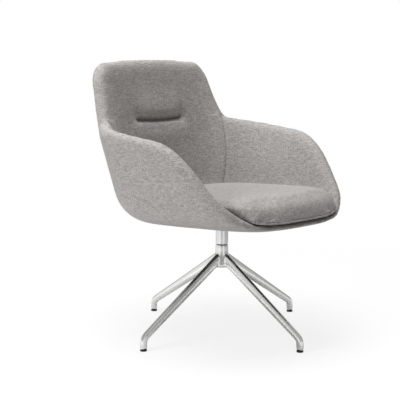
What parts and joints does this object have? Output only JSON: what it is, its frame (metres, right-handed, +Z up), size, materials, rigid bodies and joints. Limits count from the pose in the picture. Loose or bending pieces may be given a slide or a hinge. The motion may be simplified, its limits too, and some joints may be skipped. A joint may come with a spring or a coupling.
{
  "type": "visitor chair",
  "caption": "Upholstered tub armchair with a crowned seat cushion, turning freely on a short column over a polished star base with straight legs bent down into feet.",
  "frame": {"origin": "on the floor under the swivel axis, in the middle of the four feet", "axes": "+Z up along the swivel axis, the sitter faces -Y, the sitter's right is -X; the legs lie along the X and Y axes"},
  "size_m": [0.662, 0.7131, 0.832],
  "materials": {
    "polished_aluminium": "polished casting",
    "polished_tube": "satin-bright tube",
    "upholstery": "fine woven wool melange, warm mid grey",
    "shell_moulding": "moulded, hidden in the foam",
    "black_board": "stained plywood",
    "black_cover": "fine grain",
    "black_plastic": "moulded",
    "bush_plastic": "natural acetal",
    "plate_paint": "black powder coat",
    "zinc_steel": "zinc plated"
  },
  "bodies": {
    "base": {"star_base": "polished_aluminium", "glide_left": "black_plastic", "glide_rear": "black_plastic", "glide_right": "black_plastic", "glide_front": "black_plastic", "glide_pins": "zinc_steel", "spindle": "zinc_steel", "nut_washer": "zinc_steel", "spindle_nut": "zinc_steel", "spindle_screw": "zinc_steel", "screw_washer": "zinc_steel", "hub_plug": "black_plastic", "thrust_washer": "bush_plastic"},
    "seat": {"swivel_tube": "polished_tube", "lower_bush": "bush_plastic", "upper_bush": "bush_plastic", "mount_plate": "plate_paint", "plate_bolts": "zinc_steel", "plate_washers": "zinc_steel", "tee_nuts": "zinc_steel", "shell_upholstery": "upholstery", "shell_core": "shell_moulding", "seat_board": "black_board", "board_screws": "zinc_steel", "seat_cushion": "upholstery", "underside_cover": "black_cover", "cover_screws": "zinc_steel"}
  },
  "joints": [
    {"name": "seat_swivel", "type": "hinge", "parent": "base", "child": "seat", "pos_m": [0, 0, 0.3], "axis": [0, 0, 1], "continuous": true}
  ]
}
